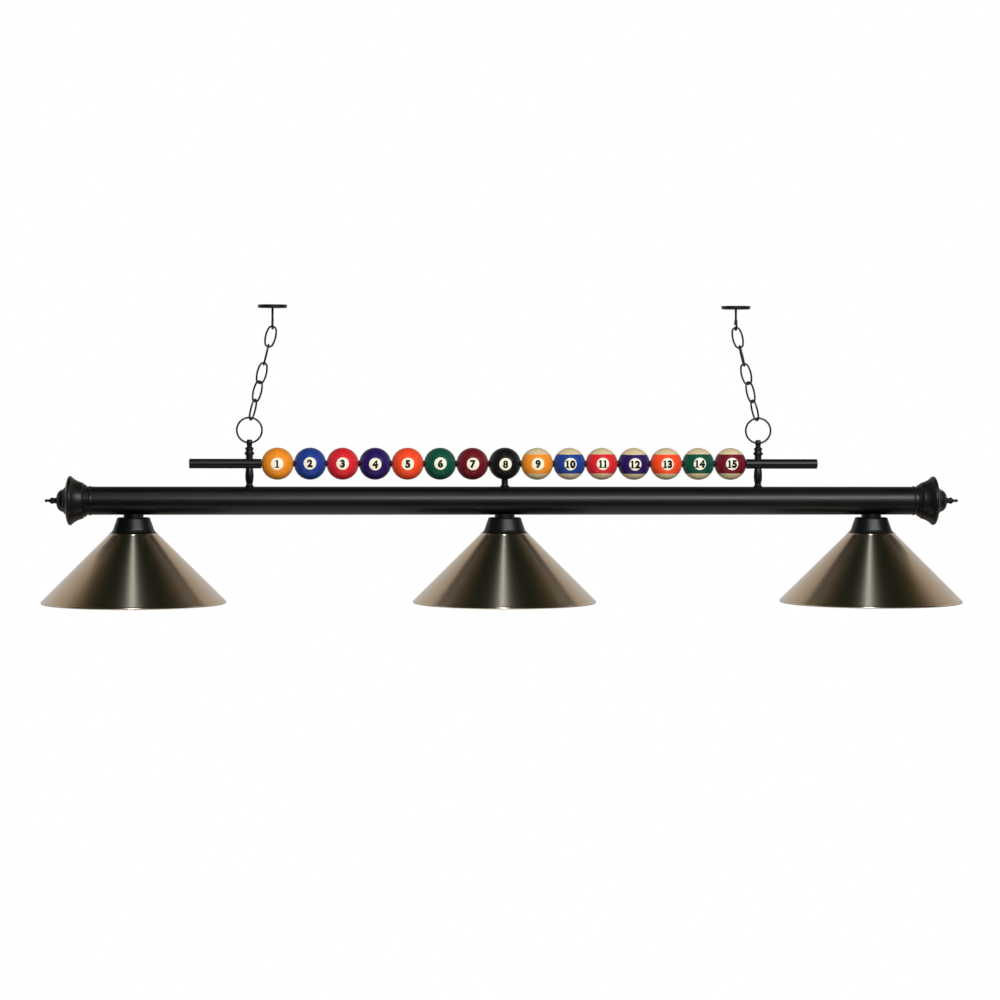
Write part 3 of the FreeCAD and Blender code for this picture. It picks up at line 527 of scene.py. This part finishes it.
belt_edge = new_node(printing, "ShaderNodeMapRange", From_Min=-0.0001, From_Max=0.0001)
printing.links.new(enter.outputs["Vector"], split.inputs[0])
printing.links.new(enter.outputs["Vector"], flat.inputs[0])
printing.links.new(flat.outputs[0], off_centre.inputs[0])
printing.links.new(enter.outputs["Disc"], inside.inputs[0])
printing.links.new(off_centre.outputs["Value"], inside.inputs[1])
printing.links.new(inside.outputs[0], disc_edge.inputs["Value"])
printing.links.new(split.outputs["Z"], height.inputs[0])
printing.links.new(enter.outputs["Belt"], above.inputs[0])
printing.links.new(height.outputs[0], above.inputs[1])
printing.links.new(above.outputs[0], belt_edge.inputs["Value"])
printing.links.new(belt_edge.outputs[0], leave.inputs["Belt"])
printing.links.new(disc_edge.outputs[0], leave.inputs["Disc"])
printing.links.new(inside.outputs[0], leave.inputs["Depth"])

BALL_RADIUS = 28.575
BORE_RADIUS = 5.1
DISC_RADIUS = 11
BELT_HEIGHT = 17
BALL_COLOURS = [(0.86, 0.275, 0.018), (0.013, 0.045, 0.26), (0.68, 0.018, 0.028),
                (0.021, 0.006, 0.10), (0.93, 0.07, 0.018), (0.003, 0.075, 0.042),
                (0.15, 0.006, 0.014), (0.006, 0.006, 0.006)]
CREAM = (0.66, 0.53, 0.31)
IVORY = (0.86, 0.80, 0.62)
# how far each ball has turned on the rod, in degrees, from its number level to the front
BALL_TURNS = [0.5, 2.5, 1.5, -0.5, 0.5, 2, 0.5, -1, 0.5, 0, 1, -1, 0, 1.5, 1]


def ball_resin(count, centre, turn):
    """Satin resin with the number's disc front and back, and a belt on nine to fifteen."""
    colour = BALL_COLOURS[(count - 1) % len(BALL_COLOURS)]
    made = new_finish(f"ball_{count}_resin", colour, Roughness=0.34, Specular_IOR_Level=0.3)
    here = coordinates(made, centre, rotation=(math.radians(turn), 0, 0))
    marks = add_node(made, "ShaderNodeGroup", node_tree=printing)
    # a plain ball's belt reaches past the ball, so no cream is left
    marks.inputs["Belt"].default_value = BELT_HEIGHT * MM if count > 8 else 1
    marks.inputs["Disc"].default_value = DISC_RADIUS * MM
    join(made, here, marks.inputs["Vector"])
    cloud = add_node(made, "ShaderNodeTexNoise", Scale=90.0, Detail=5.0)
    join(made, here, cloud.inputs["Vector"])
    body = add_node(made, "ShaderNodeMix", data_type="RGBA",
                    A=(*(value * 0.8 for value in colour), 1),
                    B=(*(min(1, value * 1.12) for value in colour), 1))
    join(made, cloud.outputs["Fac"], body.inputs["Factor"])
    belt = add_node(made, "ShaderNodeMix", data_type="RGBA", A=(*CREAM, 1))
    join(made, marks.outputs["Belt"], belt.inputs["Factor"])
    join(made, body.outputs["Result"], belt.inputs["B"])
    disc = add_node(made, "ShaderNodeMix", data_type="RGBA", B=(*IVORY, 1))
    join(made, marks.outputs["Disc"], disc.inputs["Factor"])
    join(made, belt.outputs["Result"], disc.inputs["A"])
    join(made, disc.outputs["Result"], "Base Color")
    return made


def drilled_ball(name, centre):
    """Sphere turned about X, with the rod's bore through it."""
    shape = bmesh.new()
    edge_angle = math.asin(BORE_RADIUS / BALL_RADIUS)
    rings = 48
    points = []
    for index in range(rings + 1):
        angle = edge_angle + (math.pi - 2 * edge_angle) * index / rings
        points.append(shape.verts.new((BALL_RADIUS * MM * math.cos(angle), 0,
                                       BALL_RADIUS * MM * math.sin(angle))))
    for start, end in zip(points, points[1:] + points[:1]):
        shape.edges.new((start, end))
    bmesh.ops.spin(shape, geom=shape.verts[:] + shape.edges[:], cent=(0, 0, 0), axis=(1, 0, 0),
                   angle=math.tau, steps=128, use_merge=True)
    bmesh.ops.translate(shape, vec=centre, verts=shape.verts)
    return finished(name, shape)


NUMBER_SIZE = 17.2
NUMBER_BOLD = 1.2
NUMBER_GAP = 0.7
INK_DEPTH = 0.05
# the flat number is cut along planes one millimetre apart, so that it can bend round the ball
INK_CUTS = range(-10, 11)
# outline of the figure one, which has a flag and a foot, about its own middle
FIGURE_ONE = [(-3.7, -7), (3.7, -7), (3.7, -5.3), (1.9, -4.9), (1.9, 7), (0.1, 7), (-3.6, 4.9),
              (-3.6, 3.3), (-1.5, 4), (-1.5, -4.9), (-3.7, -5.3)]


def figure(digit):
    """Flat mesh of one figure, centred on its own box; the six is a nine turned over."""
    shape = bmesh.new()
    if digit == "1":
        shape.faces.new([shape.verts.new((x * MM, y * MM, 0)) for x, y in FIGURE_ONE])
    else:
        lettering = bpy.data.curves.new("figure", "FONT")
        lettering.body = "9" if digit == "6" else digit
        lettering.size = NUMBER_SIZE * MM
        lettering.offset = NUMBER_BOLD * MM * (0.8 if digit == "8" else 1)
        outline = add_object("figure", lettering)
        bpy.context.view_layer.update()
        shape.from_mesh(bpy.data.meshes.new_from_object(outline))
        bpy.data.objects.remove(outline)
    if digit == "6":
        bmesh.ops.rotate(shape, verts=shape.verts, cent=(0, 0, 0),
                         matrix=Matrix.Rotation(math.pi, 3, "Z"))
    bmesh.ops.remove_doubles(shape, verts=shape.verts, dist=1e-6)
    bmesh.ops.triangulate(shape, faces=shape.faces)
    spans = [[vert.co[axis] for vert in shape.verts] for axis in (0, 1)]
    width = max(spans[0]) - min(spans[0])
    middle = [(min(span) + max(span)) / 2 for span in spans]
    bmesh.ops.translate(shape, verts=shape.verts, vec=(-middle[0], -middle[1], 0))
    mesh = bpy.data.meshes.new(f"figure_{digit}")
    shape.to_mesh(mesh)
    shape.free()
    return mesh, width


def printed_number(name, number, centre, turn):
    """The number as a thin skin of ink wrapped on the ball's front."""
    shape = bmesh.new()
    figures = [figure(digit) for digit in str(number)]
    across = -(sum(width for mesh, width in figures) + NUMBER_GAP * MM * (len(figures) - 1)) / 2
    for mesh, width in figures:
        before = set(shape.verts)
        shape.from_mesh(mesh)
        bmesh.ops.translate(shape, verts=[vert for vert in shape.verts if vert not in before],
                            vec=(across + width / 2, 0, 0))
        across += width + NUMBER_GAP * MM
    for step in INK_CUTS:
        for normal in (Vector((1, 0, 0)), Vector((0, 1, 0))):
            bmesh.ops.bisect_plane(shape, geom=shape.verts[:] + shape.edges[:] + shape.faces[:],
                                   plane_no=normal, plane_co=normal * step * MM)
    for vert in shape.verts:
        u, v = vert.co.x, vert.co.y
        vert.co = (u, -math.sqrt(((BALL_RADIUS + INK_DEPTH) * MM) ** 2 - u * u - v * v), v)
    bmesh.ops.rotate(shape, verts=shape.verts, cent=(0, 0, 0),
                     matrix=Matrix.Rotation(-math.radians(turn), 3, "X"))
    bmesh.ops.translate(shape, vec=centre, verts=shape.verts)
    return finished(name, shape)


ink = coated("number_ink", (0.002, 0.002, 0.002), (0.004, 0.004, 0.004), 900, (0.5, 0.6), 0.00001,
             Specular_IOR_Level=0.15)
balls = []
for count, turn in enumerate(BALL_TURNS, start=1):
    centre = middle_of(f"ball_{count}")
    body = "lamp" if count == 8 else f"ball_{count}"
    ball = drilled_ball(f"ball_{count}_cast", centre)
    ball.data.materials.append(ball_resin(count, centre, turn))
    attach(ball, body)
    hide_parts(f"ball_{count}")
    numeral = printed_number(f"ball_{count}_number", count, centre, turn)
    numeral.data.materials.append(ink)
    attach(numeral, body)
    ball.visible_glossy = False
    balls += [ball, numeral]
reach_of(ball_light, balls, "INCLUDE")
